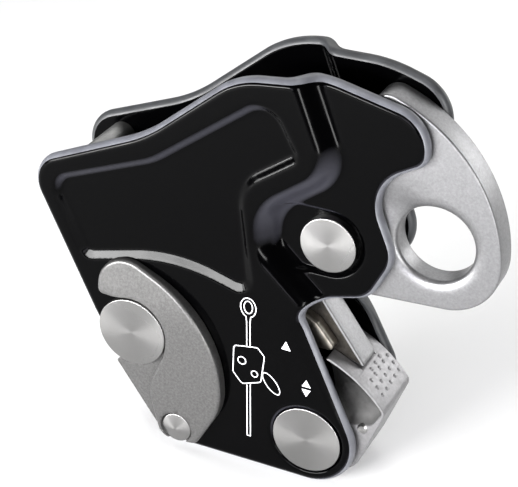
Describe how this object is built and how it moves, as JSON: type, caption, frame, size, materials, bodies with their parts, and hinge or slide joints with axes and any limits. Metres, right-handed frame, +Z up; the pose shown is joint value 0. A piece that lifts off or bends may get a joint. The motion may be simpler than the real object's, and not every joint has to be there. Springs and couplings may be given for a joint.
{
  "type": "rope fall arrester",
  "caption": "Rope fall arrester: forged side plates on a vertical rope, with an eyed arm whose cam grips the rope, a switch lever and a stud latch.",
  "frame": {"origin": "on the rope's centre line, midway between the side plates, level with the arm's axle", "axes": "+Z up along the rope, +X to the right towards the connector eye, +Y away from the front plate, along the axles"},
  "size_m": [0.1091, 0.0271, 0.1019],
  "materials": {
    "black_plate": "gloss black coated forged aluminium with satin edges",
    "turned_steel": "turned stainless steel with fine rings",
    "latch_steel": "tumbled stainless steel plate",
    "arm_alloy": "bead-blasted grey alloy",
    "cam_steel": "ground steel",
    "cast_steel": "bead-blasted cast stainless steel",
    "grey_alloy": "matt light grey alloy",
    "bronze": "plain sintered bronze"
  },
  "bodies": {
    "frame": {"front_plate": "black_plate", "rear_plate": "black_plate", "arm_axle": "turned_steel", "arm_axle_washer": "turned_steel", "lever_axle": "turned_steel", "lever_axle_washer": "turned_steel", "lock_stud": "turned_steel", "top_post": "grey_alloy", "rope_anvil": "cam_steel", "anvil_rivets": "turned_steel", "latch_rivet": "turned_steel", "lever_shims": "bronze"},
    "arm": {"arm": "arm_alloy", "arm_bush": "bronze", "cam_shoe": "cam_steel", "cam_rivet": "turned_steel"},
    "lever": {"lever": "cast_steel", "lever_bush": "bronze", "detent_plunger": "turned_steel"},
    "latch": {"latch": "latch_steel"}
  },
  "joints": [
    {"name": "arm_swing", "type": "hinge", "parent": "frame", "child": "arm", "pos_m": [0.02451, 0, 0], "axis": [0, 1, 0], "range_deg": [0, 30], "stiffness_Nm_per_rad": 0.06, "springref_deg": -28.65},
    {"name": "lever_switch", "type": "hinge", "parent": "frame", "child": "lever", "pos_m": [0.02183, 0, -0.0502], "axis": [0, 1, 0], "range_deg": [0, 20]},
    {"name": "latch_turn", "type": "hinge", "parent": "frame", "child": "latch", "pos_m": [-0.01052, 0, -0.0554], "axis": [0, 1, 0], "range_deg": [0, 35], "stiffness_Nm_per_rad": 0.03, "springref_deg": -28.65}
  ]
}
